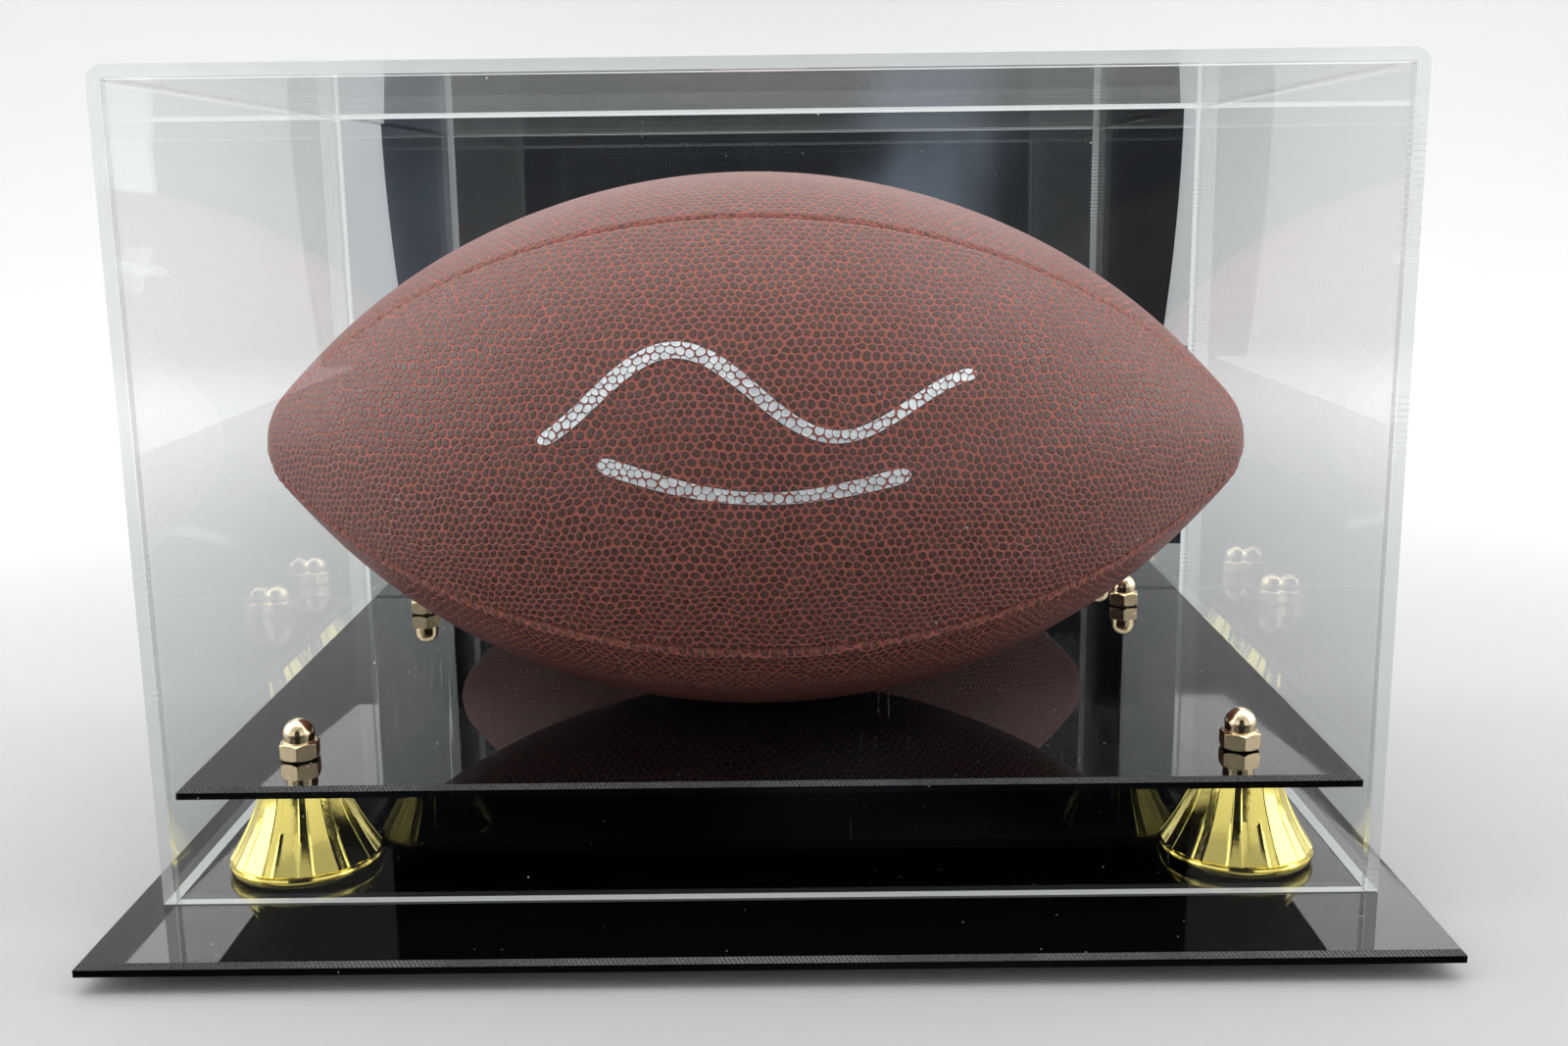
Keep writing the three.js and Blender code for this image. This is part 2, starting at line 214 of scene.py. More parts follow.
def milled_acrylic():
    """The bevel of a black sheet, grey from the cutter, with its chatter marks across it."""
    m = Material("milled_acrylic")
    place = m.place()
    axes = m.axes(place)
    chatter = m.wave(m.math("ADD", axes["X"], axes["Y"]), 1.07 * MM)
    patches = m.span(m.noise(place, 28, 3), 0.38, 0.62, 0.15, 1.0)
    marks = m.math("MULTIPLY", m.span(chatter, -1.0, 1.0), patches)
    grain = m.noise(place, 2600)
    colour = m.mix(m.math("MULTIPLY", marks, grain), grey(0.022), grey(0.17))
    return m.finish(m.principled(colour, m.vary(grain, 0.22, 0.4), m.bump(marks, 0.03 * MM, 0.8)))


def clear_acrylic():
    m = Material("clear_acrylic")
    place = m.place()
    dust = dust_mask(m, place, spacing=7.0 * MM, radius_share=0.05, kept_share=0.16)
    hairs = m.noise(m.stretched(place, 1500, 1500, 28), 1.0, 1)
    wear_and_highlight = m.span(m.noise(place, 16), 0.56, 0.7)
    scratches = m.math("MULTIPLY", m.span(hairs, 0.735, 0.79), wear_and_highlight)
    marks = m.math("MINIMUM", m.math("ADD", m.math("MULTIPLY", scratches, 0.35), dust), 1.0)
    through = m.shader("BsdfTransparent", Color=(0.982, 0.988, 0.988, 1))
    gloss = m.shader("BsdfGlossy", Color=grey(0.88), Roughness=0.0)
    haze = m.shader("BsdfDiffuse", Color=grey(0.75))
    surface = m.blend(schlick(m), through, gloss)
    return m.finish(m.blend(m.math("MULTIPLY", marks, 0.45), surface, haze))


def sawn_acrylic(name, frost, painted_glow):
    """The cut edge of a clear sheet: part frosted, with saw marks in patches, and with a painted
    glow, an emission that stands in for the light the sheet carries to it inside."""
    m = Material(name)
    place = m.place()
    saw = m.wave(m.axes(place)["Z"], 1.6 * MM)
    patches = m.span(m.noise(place, 22), 0.52, 0.66)
    marks = m.math("MULTIPLY", m.span(saw, 0.2, 1.0), patches)
    fine = m.noise(place, 900)
    white = m.mix(m.math("MULTIPLY", marks, fine), (0.76, 0.78, 0.775, 1), (0.55, 0.56, 0.56, 1))
    normal = m.bump(m.math("ADD", marks, fine), 0.06 * MM, 0.6)
    scatter = m.shader("BsdfDiffuse", Color=white, Normal=normal)
    passed = m.shader("BsdfTranslucent", Color=white, Normal=normal)
    through = m.shader("BsdfTransparent", Color=(0.80, 0.82, 0.815, 1))
    gloss = m.shader("BsdfGlossy", Color=grey(1), Roughness=0.12, Normal=normal)
    # Painted glow: the edge gives off light of its own, in place of the light the sheet carries to
    # it.
    light = m.shader("Emission", Color=white, Strength=painted_glow)
    frosted = m.blend(0.5, scatter, passed)
    body = m.blend(m.span(marks, 0.0, 1.0, frost, 0.85), through, frosted)
    surface = m.blend(schlick(m, 0.05), body, gloss)
    return m.finish(m.add("AddShader", {0: surface, 1: light}).outputs[0])


def mirror_face():
    m = Material("mirror_face")
    place = m.place()
    dust = dust_mask(m, place, spacing=8 * MM, radius_share=0.045, kept_share=0.15)
    silver = m.shader("BsdfGlossy", Color=(0.84, 0.86, 0.865, 1), Roughness=0.0)
    haze = m.shader("BsdfDiffuse", Color=grey(0.7))
    veil = m.span(m.noise(place, 12, 3), 0.3, 0.8, 0.004, 0.03)
    return m.finish(m.blend(m.math("MAXIMUM", m.math("MULTIPLY", dust, 0.4), veil), silver, haze))


def mirror_backing():
    """The grey protective paint on the back of the mirror sheet."""
    m = Material("mirror_backing")
    place = m.place()
    cloud = m.noise(place, 14, 4)
    grain = m.noise(place, 1400)
    colour = m.mix(cloud, (0.17, 0.175, 0.185, 1), (0.24, 0.245, 0.25, 1))
    return m.finish(m.principled(colour, m.vary(grain, 0.35, 0.5), m.bump(grain, 0.01 * MM, 0.4)))


def gold_plastic():
    """Bright gold metal coating on moulded plastic, with a slight orange peel."""
    m = Material("gold_plastic")
    place = m.place()
    peel = m.noise(place, 1500, 2, 0.6)
    waves = m.noise(place, 240)
    wear_and_highlight = m.span(m.noise(place, 90, 3), 0.62, 0.75)
    height = m.math("ADD", m.math("MULTIPLY", peel, 0.35), waves)
    colour = m.mix(wear_and_highlight, (0.93, 0.77, 0.215, 1), (0.86, 0.68, 0.17, 1))
    normal = m.bump(height, 0.035 * MM, 0.75)
    return m.finish(m.principled(colour, m.vary(peel, 0.08, 0.17), normal, metallic=1.0))


def nut_brass():
    m = Material("nut_brass")
    place = m.place()
    brushed = m.noise(m.stretched(place, 900, 900, 5200), 1.0, 3)
    stain = m.noise(place, 320, 3)
    colour = m.mix(stain, (0.95, 0.77, 0.49, 1), (0.84, 0.65, 0.40, 1))
    normal = m.bump(brushed, 0.01 * MM, 0.5)
    return m.finish(m.principled(colour, m.vary(brushed, 0.1, 0.24), normal, metallic=1.0))


def zinc_steel():
    m = Material("zinc_steel")
    grain = m.noise(m.place(), 1900, 3)
    colour = m.mix(grain, (0.5, 0.51, 0.52, 1), (0.66, 0.66, 0.63, 1))
    normal = m.bump(grain, 0.02 * MM, 0.5)
    return m.finish(m.principled(colour, m.vary(grain, 0.24, 0.42), normal, metallic=1.0))


def black_rubber():
    m = Material("black_rubber")
    place = m.place()
    grain = m.noise(place, 2200, 3)
    bloom = m.noise(place, 160, 3)
    colour = m.mix(bloom, grey(0.011), grey(0.026))
    return m.finish(m.principled(colour, m.vary(grain, 0.55, 0.8), m.bump(grain, 0.05 * MM, 0.6)))


# The pebbles' pitch, how far each is moved at random and where its corners are rounded off, in
# pitches, by how much, and how far the rows wander.
PEBBLE = {
    "pitch": 2.35 * MM,
    "jitter": 0.17,
    "round_from": 0.4,
    "rounding": 0.8,
    "drift": 4.5 * MM,
    "drift_scale": 75.0,
}


def pebbles(m):
    """The place in the hide, the distance in from a pebble's rounded outline, which goes up to
    about 0.5 pitches, and the pebble's height, 0 to 1.

    The pebbles are the cells round the points of a triangular lattice, each moved a little at
    random. The lattice is two sets of rows, and the two nearest points of the nearest row in each
    set are compared.
    """
    flat = m.grain()
    noise = {"Vector": flat, "Scale": PEBBLE["drift_scale"], "Detail": 1.0}
    wander = m.add("TexNoise", noise).outputs["Color"]
    centred = m.vector("SUBTRACT", {0: wander, 1: (0.5, 0.5, 0.5)})
    drift = m.vector("SCALE", {0: centred, "Scale": PEBBLE["drift"]})
    moved = m.vector("ADD", {0: flat, 1: drift})
    axes = m.axes(m.vector("SCALE", {0: moved, "Scale": 1 / PEBBLE["pitch"]}))
    point = m.add("CombineXYZ", {"X": axes["X"], "Y": axes["Y"]}).outputs[0]
    row_gap, jitter = math.sqrt(3), PEBBLE["jitter"]
    near, far = [], []
    for shift in (0.0, 0.5):
        row = m.math("ROUND", m.math("SUBTRACT", m.math("DIVIDE", axes["Y"], row_gap), shift))
        y = m.math("MULTIPLY", m.math("ADD", row, shift), row_gap)
        column = m.math("ADD", m.math("FLOOR", m.math("SUBTRACT", axes["X"], shift)), shift)
        distances = []
        for step in (0.0, 1.0):
            x = m.math("ADD", column, step)
            centre = m.add("CombineXYZ", {"X": x, "Y": y}).outputs[0]
            white = m.add("TexWhiteNoise", {"Vector": centre}, noise_dimensions="3D")
            spread = {
                0: white.outputs["Color"],
                1: (2 * jitter, 2 * jitter, 0),
                2: (-jitter, -jitter, 0),
            }
            spot = m.vector("ADD", {0: centre, 1: m.vector("MULTIPLY_ADD", spread)})
            distances.append(m.vector("DISTANCE", {0: point, 1: spot}, "Value"))
        near.append(m.math("MINIMUM", *distances))
        far.append(m.math("MAXIMUM", *distances))
    first = m.math("MINIMUM", *near)
    second = m.math("MINIMUM", m.math("MAXIMUM", *near), m.math("MINIMUM", *far))
    straight = m.math("MULTIPLY", m.math("SUBTRACT", second, first), 0.5)
    corner = m.math("MAXIMUM", m.math("SUBTRACT", first, PEBBLE["round_from"]), 0.0)
    edge = m.math("SUBTRACT", straight, m.math("MULTIPLY", corner, PEBBLE["rounding"]))
    return flat, edge, m.span(edge, -0.02, 0.2)


def football_leather():
    """Pebbled leather: dark flat-topped pebbles with an orange-red groove round each, and
    orange-red
    patches beside the seams: a painted highlight along the seam edges, and the stretched leather
    showing its groove colour there."""
    m = Material("football_leather")
    flat, edge, dome = pebbles(m)
    shade = m.vary(m.noise(flat, 380))
    top_colour = m.mix(shade, (0.078, 0.034, 0.029, 1), (0.105, 0.048, 0.041, 1))
    wide = m.noise(flat, 18, 3)
    groove_colour = m.mix(wide, (0.30, 0.076, 0.050, 1), (0.37, 0.100, 0.066, 1))
    # Painted highlight: near the seams the pebble tops take the groove's orange-red, for the orange
    # highlight along the seam edges, where the stretched leather also shows its groove colour.
    near_seam = m.span(m.axes(flat)["Z"], 2.2 * MM, 0.5 * MM)
    wear_and_highlight = m.math("MULTIPLY", near_seam, m.span(m.noise(flat, 700), 0.35, 0.6))
    tops = m.mix(m.math("MULTIPLY", wear_and_highlight, 0.75), top_colour, groove_colour)
    colour = m.mix(m.span(edge, 0.03, 0.12), groove_colour, tops)
    height = m.math("ADD", dome, m.math("MULTIPLY", m.noise(flat, 2600), 0.05))
    roughness = m.span(dome, 0.0, 1.0, 0.62, 0.40)
    return m.finish(m.principled(colour, roughness, m.bump(height, 0.34 * MM, 0.85)))


def silver_marker():
    """Silver paint that lies on the pebbles' tops and leaves the grooves between them bare."""
    m = Material("silver_marker")
    flat, edge, dome = pebbles(m)
    shade = m.vary(m.noise(flat, 380))
    streaks = m.noise(flat, 1100, 3)
    colour = m.mix(shade, (0.62, 0.65, 0.68, 1), (0.84, 0.86, 0.88, 1))
    normal = m.bump(m.math("ADD", dome, m.math("MULTIPLY", streaks, 0.15)), 0.3 * MM, 0.85)
    paint = m.principled(colour, m.vary(streaks, 0.3, 0.5), normal, metallic=0.35)
    bare = m.shader("BsdfTransparent", Color=grey(1))
    uneven = m.math("MULTIPLY", m.math("SUBTRACT", streaks, 0.5), 0.12)
    return m.finish(m.blend(m.span(m.math("ADD", edge, uneven), 0.015, 0.05), bare, paint))


def seam_thread():
    m = Material("seam_thread")
    twist = m.noise(m.place(), 2400)
    colour = m.mix(twist, (0.10, 0.022, 0.016, 1), (0.32, 0.075, 0.045, 1))
    return m.finish(m.principled(colour, 0.6, m.bump(twist, 0.08 * MM, 0.8)))


def woven_lace():
    """Flat white lace: a plain weave of fine threads over the ribbon's own length and width."""
    m = Material("woven_lace")
    axes = m.axes(m.grain())
    warp, weft = (m.wave(axes[axis], 0.8 * MM) for axis in "XY")
    weave = m.span(m.math("MULTIPLY", warp, weft), -0.8, 0.8)
    soil = m.span(m.noise(m.place(), 130, 4), 0.5, 0.75, 0.0, 0.35)
    clean = m.mix(weave, (0.62, 0.58, 0.51, 1), (0.83, 0.81, 0.76, 1))
    colour = m.mix(soil, clean, (0.45, 0.36, 0.29, 1))
    return m.finish(m.principled(colour, 0.8, m.bump(weave, 0.15 * MM, 0.8)))


# ---------------------------------------------------------------- mesh helpers


def new_object(name, points, faces, material):
    mesh = bpy.data.meshes.new(name)
    mesh.from_pydata(points, [], faces)
    mesh.validate()
    mesh.polygons.foreach_set("use_smooth", [True] * len(mesh.polygons))
    mesh.materials.append(material)
    made = bpy.data.objects.new(name, mesh)
    bpy.context.scene.collection.objects.link(made)
    return made


def piece(name, points, faces, material, body, replaces, sharp_degrees):
    """A smooth-shaded mesh object, sharp where its faces turn by more than an angle, which rides
    on a body."""
    made = new_object(name, points, faces, material)
    made.data.set_sharp_from_angle(angle=math.radians(sharp_degrees))
    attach(made, body)
    if replaces:
        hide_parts(*replaces)
    return made


def set_materials(node, *materials):
    """Gives a CAD node new materials in place of its own."""
    made = nodes[node]
    made.data.materials.clear()
    for material in materials:
        made.data.materials.append(material)
    return made


def set_grain(made, flat_points):
    """Gives each vertex its place in the flat sheet that the piece was cut from, and on leather
    its way from a seam as a third value."""
    attribute = made.data.attributes.new(GRAIN, "FLOAT_VECTOR", "POINT")
    attribute.data.foreach_set("vector", [c for point in flat_points for c in point])


def add_bevel(made, width, degrees=30):
    bevel = made.modifiers.new("edges", "BEVEL")
    bevel.width = width
    bevel.segments = 2
    bevel.limit_method = "ANGLE"
    bevel.angle_limit = math.radians(degrees)


def skin(rings, start=0, loop=False):
    """Faces between rings of the same count, whose points are numbered from start. Without loop,
    its ends are capped."""
    count = len(rings[0])
    faces = []
    bands = len(rings) if loop else len(rings) - 1
    for r in range(bands):
        low = start + r * count
        high = start + ((r + 1) % len(rings)) * count
        for i in range(count):
            after = (i + 1) % count
            faces.append((low + i, low + after, high + after, high + i))
    if not loop:
        last = start + (len(rings) - 1) * count
        faces.append(tuple(start + i for i in reversed(range(count))))
        faces.append(tuple(last + i for i in range(count)))
    return faces


def round_ring(radius, z, angles, x=0.0, y=0.0):
    return [(x + radius * math.cos(a), y + radius * math.sin(a), z) for a in angles]


def even_angles(count):
    return [2 * math.pi * i / count for i in range(count)]


def flat_list(rings):
    return [point for ring in rings for point in ring]


# ---------------------------------------------------------------- stand


def paint_plate(node, sheet, bevel):
    """A flat plate: gloss black, with its slanted edge strips grey from the cutter."""
    plate = set_materials(node, sheet, bevel)
    slanted = [0.1 < face.normal.z < 0.95 for face in plate.data.polygons]
    plate.data.polygons.foreach_set("material_index", [int(s) for s in slanted])
    add_bevel(plate, 0.12 * MM, degrees=20)


FOOT_TAPER = 2.5 * MM


def make_foot(corner, rubber):
    """A tapered rubber bumper, wide end up, with a rounded rim and a dished floor face."""
    node = f"foot_{corner}"
    low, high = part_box(node)
    centre = (low + high) / 2
    height = high.z - low.z
    wide = (high.x - low.x) / 2
    narrow = wide - FOOT_TAPER
    outline = [
        (1.5 * MM, 0.5 * MM),
        (narrow * 0.55, 0.35 * MM),
        (narrow * 0.8, 0.0),
        (narrow - 0.5 * MM, 0.05 * MM),
        (narrow - 0.1 * MM, 0.3 * MM),
        (narrow + 0.15 * MM, 0.8 * MM),
        (narrow + 1.1 * MM, height * 0.5),
        (wide - 0.35 * MM, height - 0.6 * MM),
        (wide, height - 0.3 * MM),
        (wide - 0.2 * MM, height),
        (2.0 * MM, height),
    ]
    angles = even_angles(48)
    rings = [round_ring(r, low.z + z, angles, centre.x, centre.y) for r, z in outline]
    piece(
        f"{node}_fine", flat_list(rings), skin(rings), rubber, "stand", [node], 50
    )


# The flutes are nearly flat: 1 would be flat, and 0 round.
RISER = {
    "flutes": 12,
    "wide_share": 2 / 3,
    "foot_radius": 18.3 * MM,
    "rim_radius": 20.3 * MM,
    "rim_height": 2.8 * MM,
    "rim_drop": 0.7 * MM,
    "flute_start": 3.8 * MM,
    "flute_radius": 19.7 * MM,
    "top_radius": 10.3 * MM,
    "flare": 1.6,
    "bore": 2.4 * MM,
    "groove": 0.22 * MM,
    "flatness": 0.6,
    "ridge": 0.13 * MM,
    "ridge_half_width": 0.32 * MM,
}


def flute_section():
    """Angles round the riser, with each point's share of the radius on a flat flute and whether a
    ridge lifts it."""
    pitch = 2 * math.pi / RISER["flutes"]
    share_wide = RISER["wide_share"]
    edge = RISER["ridge_half_width"] / RISER["flute_radius"]
    section = []
    for i in range(RISER["flutes"]):
        start = i * pitch - pitch * share_wide / 2
        for width in (pitch * share_wide, pitch * (1 - share_wide)):
            half = width / 2
            centre = start + half
            for share in (-1.0, -0.5, 0.0, 0.5, 1.0):
                turn = (half - edge) * share
                section.append((centre + turn, math.cos(half) / math.cos(turn), 0.0))
            section.append((centre + half, 1.0, 1.0))
            start += width
    return section


def make_riser(corner, gold):
    """A moulded bell: a round foot and rim, and flutes with a fine raised line between them."""
    node = f"riser_{corner}"
    low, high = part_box(node)
    centre = (low + high) / 2
    height = high.z - low.z
    section = flute_section()
    angles = [angle for angle, _, _ in section]

    def plain(radius, z):
        return round_ring(radius, low.z + z, angles, centre.x, centre.y)

    def fluted(radius, z):
        ring = []
        for angle, share, lifted in section:
            r = radius * (1 - RISER["flatness"] * (1 - share)) + lifted * RISER["ridge"]
            x, y = centre.x + r * math.cos(angle), centre.y + r * math.sin(angle)
            ring.append((x, y, low.z + z))
        return ring

    foot, rim, groove = RISER["foot_radius"], RISER["rim_radius"], RISER["groove"]
    top, start, flute = RISER["top_radius"], RISER["flute_start"], RISER["flute_radius"]
    rim_bottom = RISER["rim_height"] - RISER["rim_drop"]
    rings = []
    under_steps = 8
    for i in range(under_steps + 1):
        turn = (i / under_steps) * math.pi / 2
        rings.append(plain(foot + (rim - foot) * math.sin(turn), rim_bottom * (1 - math.cos(turn))))
    # A groove over the rim, the rounded shoulder above it, and the groove under the flutes.
    shoulder = [
        (rim, rim_bottom + 0.35 * MM),
        (rim - groove, rim_bottom + 0.45 * MM),
        (rim - 0.05 * MM, rim_bottom + 0.62 * MM),
        (rim - 0.25 * MM, start - 0.55 * MM),
        (flute - groove, start - 0.3 * MM),
    ]
    rings += [plain(radius, z) for radius, z in shoulder]
    flare_steps = 22
    for i in range(flare_steps + 1):
        share = i / flare_steps
        widening = (flute - top) * (1 - share) ** RISER["flare"]
        rings.append(fluted(top + widening, start + (height - start) * share))
    rings += [plain(RISER["bore"], height), plain(RISER["bore"], 0.0)]
    faces = skin(rings, loop=True)
    piece(f"{node}_fine", flat_list(rings), faces, gold, "stand", [node], 24)


NUT = {
    "across_flats": 9.6 * MM,
    "height": 4.6 * MM,
    "collar": 2.0 * MM,
    "dome": 4.15 * MM,
    "end_share": 0.985,
    "chamfer_slope": 1.7,
    "turn_degrees": {"front_left": 6, "front_right": 0, "rear_left": 14, "rear_right": -9},
}


def make_nut(corner, brass):
    """An acorn nut: a hexagon whose ends are turned to a cone, and a domed cap on a short
    collar."""
    node = f"acorn_nut_{corner}"
    low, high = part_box(node)
    centre = (low + high) / 2
    turn = math.radians(NUT["turn_degrees"][corner]) + math.pi / 6
    half_flats = NUT["across_flats"] / 2
    side_steps = 10
    angles = even_angles(6 * side_steps)

    def ring(z, cone=math.inf):
        points = []
        for a in angles:
            r = min(half_flats / math.cos((a % (math.pi / 3)) - math.pi / 6), cone)
            x, y = centre.x + r * math.cos(a + turn), centre.y + r * math.sin(a + turn)
            points.append((x, y, low.z + z))
        return points

    def plain(radius, z):
        return round_ring(radius, low.z + z, [a + turn for a in angles], centre.x, centre.y)

    widest = half_flats / math.cos(math.pi / 6)
    end = half_flats * NUT["end_share"]
    slope, top, dome = NUT["chamfer_slope"], NUT["height"], NUT["dome"]
    chamfer_steps = 5
    cones = [end + (widest - end) * i / chamfer_steps for i in range(chamfer_steps)]
    chamfer = (widest - end) / slope
    rings = [ring((cone - end) / slope, cone) for cone in cones]
    rings += [ring(chamfer), ring(top - chamfer)]
    rings += [ring(top - (cone - end) / slope, cone) for cone in reversed(cones)]
    neck = [
        (dome + 0.15 * MM, top + 0.02 * MM),
        (dome - 0.12 * MM, top + 0.1 * MM),
        (dome - 0.12 * MM, top + 0.45 * MM),
    ]
    rings += [plain(radius, z) for radius, z in neck]
    springing = top + NUT["collar"]
    dome_steps = 14
    for i in range(dome_steps):
        rise = (i / dome_steps) * math.pi / 2
        rings.append(plain(dome * math.cos(rise), springing + dome * math.sin(rise)))
    rings.append(plain(0.15 * MM, springing + dome - 0.003 * MM))
    made = piece(
        f"{node}_fine", flat_list(rings), skin(rings), brass, "stand", [node], 28
    )
    add_bevel(made, 0.1 * MM, degrees=35)


def build_stand():
    sheet, bevel = black_acrylic(), milled_acrylic()
    for node in ("base_plate", "deck_plate"):
        paint_plate(node, sheet, bevel)
    rubber, gold, brass, steel = black_rubber(), gold_plastic(), nut_brass(), zinc_steel()
    for corner in CORNERS:
        make_foot(corner, rubber)
        make_riser(corner, gold)
        make_nut(corner, brass)
        add_bevel(set_materials(f"screw_{corner}", steel), 0.12 * MM)


# ---------------------------------------------------------------- cover


def paint_sheet(node, materials, is_edge, bright_top=False):
    """A clear sheet, with the faces that is_edge picks as its sawn edges, and the edge that it
    stands on, which is frosted and bright with the strongest painted glow."""
    sheet = set_materials(node, *materials)
    low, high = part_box(node)
    near = 0.1 * MM
    for face in sheet.data.polygons:
        height = (sheet.matrix_world @ face.center).z
        bright = height < low.z + near or (bright_top and height > high.z - near)
        face.material_index = 2 if bright else int(is_edge(face.normal))
    add_bevel(sheet, 0.18 * MM, degrees=40)


def build_cover():
    clear = clear_acrylic()
    # The edge each sheet stands on: frosted white, with the strongest painted glow.
    bright = sawn_acrylic("sawn_bright", frost=0.8, painted_glow=0.3)
    outer = sawn_acrylic("sawn_outer", frost=0.42, painted_glow=0.02)
    inner = sawn_acrylic("sawn_inner", frost=0.25, painted_glow=0.0)

    def faces_y(normal):
        return abs(normal.y) > 0.9

    def not_faces_y(normal):
        return not faces_y(normal)

    paint_sheet("cover_wrap", (clear, outer, bright), faces_y)
    paint_sheet("cover_front_panel", (clear, inner, bright), not_faces_y, bright_top=True)
    paint_sheet("cover_back_panel", (clear, inner, bright), not_faces_y)
    mirror = set_materials("mirror_panel", mirror_face(), mirror_backing(), inner)
    for face in mirror.data.polygons:
        face.material_index = 2 if not_faces_y(face.normal) else int(face.normal.y > 0)


# ---------------------------------------------------------------- football

BALL = {
    "half_length": 141.6 * MM,
    "radius": 76.4 * MM,
    "taper": 1.48,
    "tip_roundness": 0.44,
    "tip_cut": 0.008,
    "skin": 2.4 * MM,
}
# Angles of the seams, up from the front.
SEAM_DEGREES = {"top_front": 58, "bottom_front": -38, "bottom_rear": -122, "top_rear": 142}
PANELS = {
    "front": ("bottom_front", "top_front"),
    "top": ("top_front", "top_rear"),
    "rear": ("top_rear", "bottom_rear"),
    "bottom": ("bottom_rear", "bottom_front"),
}
PANEL = {
    "columns": 320,
    "inner_steps": 6,
    "half_gap": 0.1 * MM,
    "tip_fade": 12 * MM,
    "highlight_reach": 4 * MM,
    "hide_step": 0.37,
}
# How deep each seam's edges are rolled in, how far from the seam that reaches, how much the
# stitches pucker it, and how high the leather stands beside it.
ROLL = {
    "top_front": (0.8 * MM, 0.8 * MM, 0.35, 0.08 * MM),
    "bottom_front": (1.3 * MM, 1.0 * MM, 0.45, 0.45 * MM),
    "bottom_rear": (1.0 * MM, 1.0 * MM, 0.35, 0.1 * MM),
    "top_rear": (1.0 * MM, 1.0 * MM, 0.35, 0.1 * MM),
}
ball_joint = next(joint for joint in frame["joints"] if joint["name"] == "ball_turn")
ball_tilt = math.atan2(-ball_joint["axis"][2], ball_joint["axis"][0])
to_ball = Matrix.Translation(ball_joint["pos_m"]) @ Matrix.Rotation(ball_tilt, 4, "Y")


def ball_radius(x):
    share = min(1.0, abs(x) / BALL["half_length"])
    left = 1 - share**2
    rounding = BALL["tip_roundness"] * share**26 * left
    return BALL["radius"] * math.sqrt(left ** BALL["taper"] + rounding)


def outward(angle):
    return Vector((0, -math.cos(angle), math.sin(angle)))


def around_ball(x, radius, angle):
    """A point in the case's frame, from its place along the ball and its angle up from the
    front."""
    return to_ball @ Vector((x, -radius * math.cos(angle), radius * math.sin(angle)))


def meridian(steps):
    """Places along the ball from tip to tip, with the length of leather up to each."""
    half_turn = math.pi / 2 - BALL["tip_cut"]
    turns = [half_turn * (2 * i / steps - 1) for i in range(steps + 1)]
    places = [BALL["half_length"] * math.sin(turn) for turn in turns]
    lengths = [0.0]
    for before, after in zip(places, places[1:]):
        rise = ball_radius(after) - ball_radius(before)
        lengths.append(lengths[-1] + math.hypot(after - before, rise))
    return list(zip(places, lengths))


def length_at(columns, x):
    """The length of leather from the tip to a place along the ball."""
    low, high = 0, len(columns) - 1
    while high - low > 1:
        half = (low + high) // 2
        if columns[half][0] <= x:
            low = half
        else:
            high = half
    (x0, s0), (x1, s1) = columns[low], columns[high]
    return s0 + (s1 - s0) * (x - x0) / (x1 - x0)


def panel_rows(arc):
    """Distances across a panel, close together at its two seams and even between them."""
    near = [0.0, 0.2, 0.45, 0.8, 1.2, 1.7, 2.4, 3.4, 4.8]
    scale = min(1.0, arc / (4 * near[-1] * MM))
    edge = [d * MM * scale for d in near]
    inside = 34
    between = [edge[-1] + (arc - 2 * edge[-1]) * i / inside for i in range(1, inside)]
    return edge + between + [arc - d for d in reversed(edge)]


def panel_faces(columns, rows, inner_rows):
    """Faces of an outer and an inner grid, of the walls between them along both seams, and of the
    caps at both tips."""
    inside = columns * rows
    faces = []
    for i in range(columns - 1):
        a, b = i * rows, (i + 1) * rows
        c, d = inside + i * inner_rows, inside + (i + 1) * inner_rows
        faces += [(a + j, b + j, b + j + 1, a + j + 1) for j in range(rows - 1)]
        faces += [(c + k, c + k + 1, d + k + 1, d + k) for k in range(inner_rows - 1)]
        faces.append((a, c, d, b))
        faces.append((a + rows - 1, b + rows - 1, d + inner_rows - 1, c + inner_rows - 1))
    for i in (0, columns - 1):
        cap = [i * rows + j for j in range(rows)]
        cap += [inside + i * inner_rows + k for k in reversed(range(inner_rows))]
        faces.append(tuple(reversed(cap)) if i else tuple(cap))
    return faces


